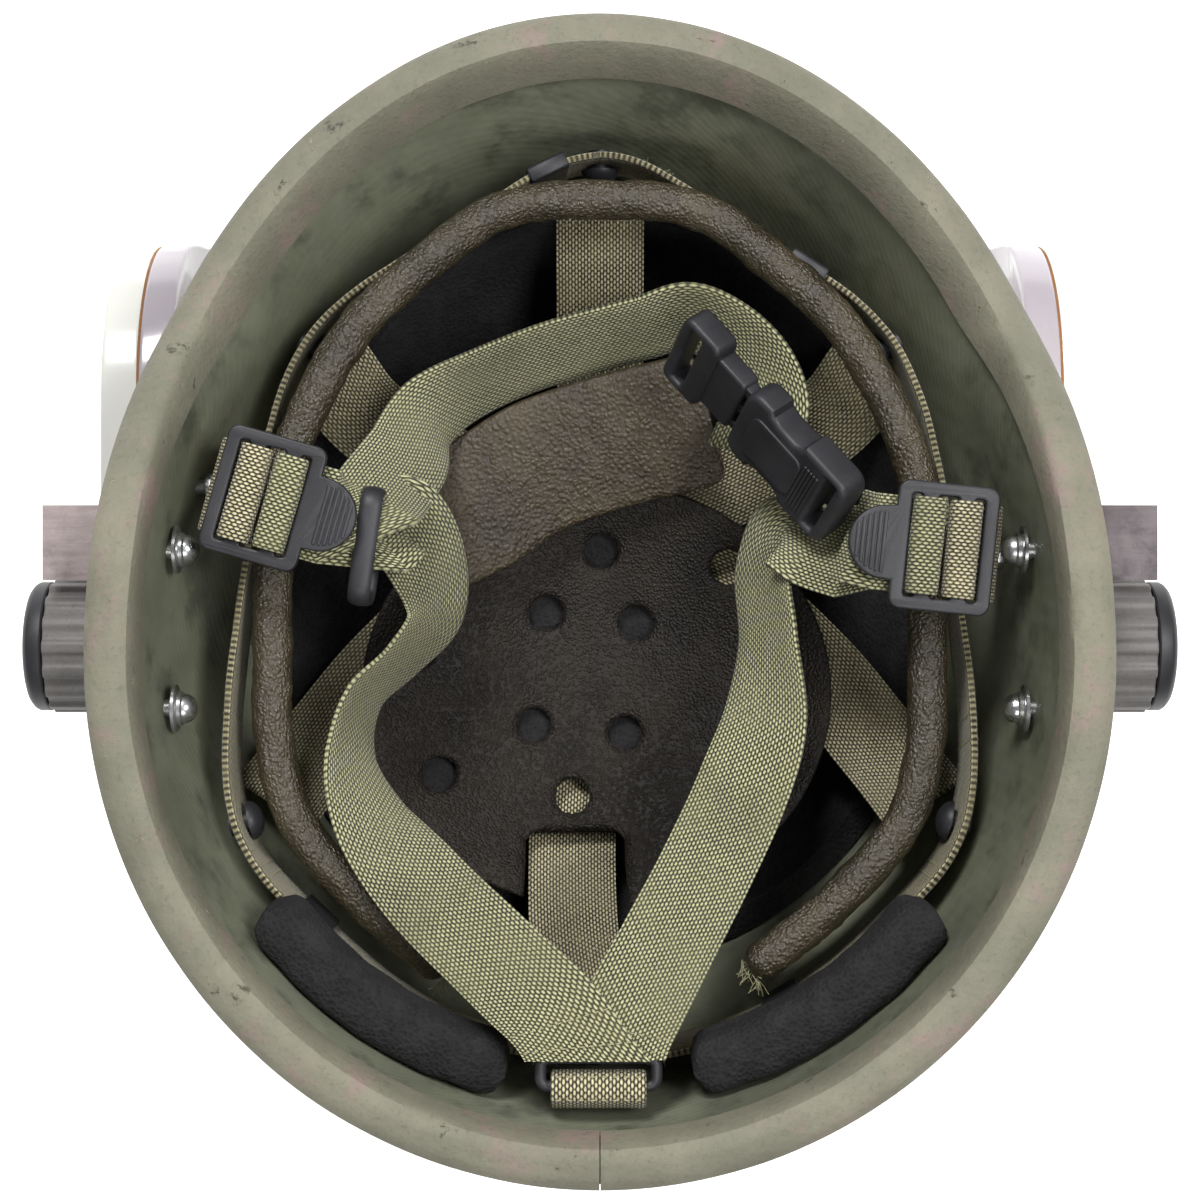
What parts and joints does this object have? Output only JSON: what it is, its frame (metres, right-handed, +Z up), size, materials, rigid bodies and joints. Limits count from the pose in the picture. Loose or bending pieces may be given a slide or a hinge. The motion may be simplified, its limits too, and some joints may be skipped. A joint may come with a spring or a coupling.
{
  "type": "ballistic helmet",
  "caption": "Moulded ballistic helmet lying crown down on its raised laminated visor, with a webbing and leather liner and a chin harness with a quick-release buckle",
  "frame": {"origin": "middle of the bounding box, on the surface that the nose of the raised visor lies on", "axes": "+Z up out of the opening of the upturned helmet, +Y towards the brow, +X along the visor's pivots"},
  "size_m": [0.294, 0.2984, 0.2337],
  "materials": {
    "olive_paint": "satin olive-grey paint over moulded fibre composite",
    "edging": "painted rubber edging, scuffed",
    "bracket_metal": "dark coating worn to bare metal on the stop",
    "bright_bolt": "plated steel",
    "knob_grey": "moulded grey plastic",
    "black_plastic": "satin black moulded plastic",
    "visor_white": "clear outer layer that looks white edge-on",
    "visor_violet": "violet-grey inner layer",
    "arm_steel": "dark coated steel",
    "khaki_webbing": "coarse woven khaki webbing",
    "green_webbing": "ribbed woven grey-green webbing",
    "brown_leather": "dark brown leather, semi-gloss",
    "black_foam": "closed-cell black foam"
  },
  "bodies": {
    "helmet": {"shell": "olive_paint", "rim_trim": "edging", "bracket_left": "bracket_metal", "bracket_right": "bracket_metal", "nut_front_left": "bright_bolt", "nut_front_right": "bright_bolt", "nut_rear_left": "bright_bolt", "nut_rear_right": "bright_bolt", "strap_bolt_left": "bright_bolt", "strap_bolt_right": "bright_bolt", "suspension_band": "khaki_webbing", "stud_front": "black_plastic", "stud_front_right": "black_plastic", "stud_rear_right": "black_plastic", "stud_rear": "black_plastic", "stud_rear_left": "black_plastic", "stud_front_left": "black_plastic", "sweatband": "brown_leather", "crown_pad": "brown_leather", "crown_strap_a": "khaki_webbing", "crown_strap_b": "khaki_webbing", "crown_strap_c": "khaki_webbing", "foam_liner": "black_foam", "foam_rear_left": "black_foam", "foam_rear_right": "black_foam", "strap_anchor_left": "khaki_webbing", "strap_anchor_right": "khaki_webbing", "slider_left": "black_plastic", "slider_right": "black_plastic", "harness_left": "green_webbing", "harness_right": "green_webbing", "chin_cup": "brown_leather", "buckle_body": "black_plastic", "buckle_tongue": "black_plastic", "nape_ring": "black_plastic", "nape_loop": "khaki_webbing"},
    "visor": {"visor_outer": "visor_white", "visor_inner": "visor_violet", "visor_arm_left": "arm_steel", "visor_arm_right": "arm_steel", "visor_screw_left": "bright_bolt", "visor_screw_right": "bright_bolt"},
    "knob_left": {"knob_drum_left": "knob_grey", "knob_cap_left": "black_plastic"},
    "knob_right": {"knob_drum_right": "knob_grey", "knob_cap_right": "black_plastic"}
  },
  "joints": [
    {"name": "visor_swing", "type": "hinge", "parent": "helmet", "child": "visor", "pos_m": [0, -0.0168, 0.19], "axis": [1, 0, 0], "range_deg": [0, 90]},
    {"name": "knob_left_turn", "type": "hinge", "parent": "helmet", "child": "knob_left", "pos_m": [-0.138, -0.0168, 0.19], "axis": [1, 0, 0], "range_deg": [-180, 180]},
    {"name": "knob_right_turn", "type": "hinge", "parent": "helmet", "child": "knob_right", "pos_m": [0.138, -0.0168, 0.19], "axis": [1, 0, 0], "range_deg": [-180, 180]}
  ]
}
